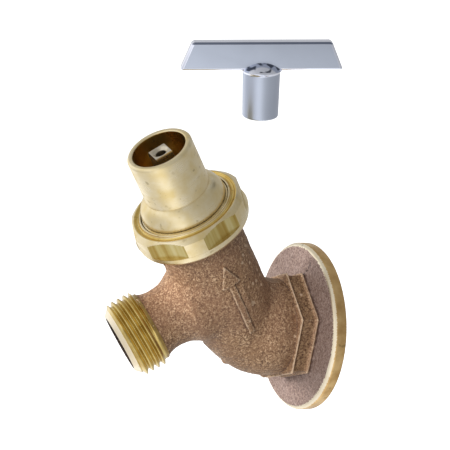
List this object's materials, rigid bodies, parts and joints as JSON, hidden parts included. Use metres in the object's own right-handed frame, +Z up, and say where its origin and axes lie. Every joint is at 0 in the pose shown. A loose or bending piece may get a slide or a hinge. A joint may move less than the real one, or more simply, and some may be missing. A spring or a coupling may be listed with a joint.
{
  "type": "hose bib",
  "caption": "Wall-mounted hose bib with flanged angled body, threaded hose outlet, shielded stem and a loose tee key",
  "frame": {"origin": "centre of the wall flange's back face, on the inlet's axis, where the supply pipe comes through the wall", "axes": "+Z up, +Y into the wall along the inlet's axis, X across the valve's plane of symmetry"},
  "size_m": [0.0582, 0.0788, 0.1349],
  "materials": {
    "cast_bronze": "rough sand-cast bronze, tan-brown, with machined edges",
    "brass": "turned brass with fine tool marks, satin to bright",
    "stem_brass": "machined pale brass",
    "chrome": "bright chrome plate",
    "spring_steel": "plain spring steel",
    "rubber": "matt black rubber",
    "graphite": "pressed graphite packing, dark grey",
    "fibre": "red vulcanised fibre sheet"
  },
  "bodies": {
    "valve": {"valve_body": "cast_bronze", "seat_ring": "brass", "bonnet": "brass", "bonnet_nut": "brass", "bonnet_gasket": "fibre", "packing_washer": "brass", "packing_ring_lower": "graphite", "packing_ring_upper": "graphite", "packing_gland": "brass", "packing_nut": "brass"},
    "disc": {"disc_holder": "brass", "seat_washer": "rubber", "washer_screw": "brass", "retaining_ring": "spring_steel"},
    "stem": {"stem": "stem_brass"},
    "key": {"tee_key": "chrome"}
  },
  "joints": [
    {"name": "disc_lift", "type": "slide", "parent": "valve", "child": "disc", "axis": [0, -0.5592, 0.829], "range_m": [-0.00762, 0]},
    {"name": "stem_turn", "type": "hinge", "parent": "disc", "child": "stem", "pos_m": [0, -0.03656, 0.01581], "axis": [0, -0.5592, 0.829], "range_deg": [-1081, 0]},
    {"name": "key_carry", "type": "hinge", "parent": "valve", "child": "key", "pos_m": [0.04329, -0.0386, 0.02852], "axis": [0.7119, -0.0963, 0.6956], "range_deg": [0, 32.61]}
  ],
  "couplings": [
    {"joint": "stem_turn", "follows": "disc_lift", "rad_per_m": 2473.7}
  ]
}
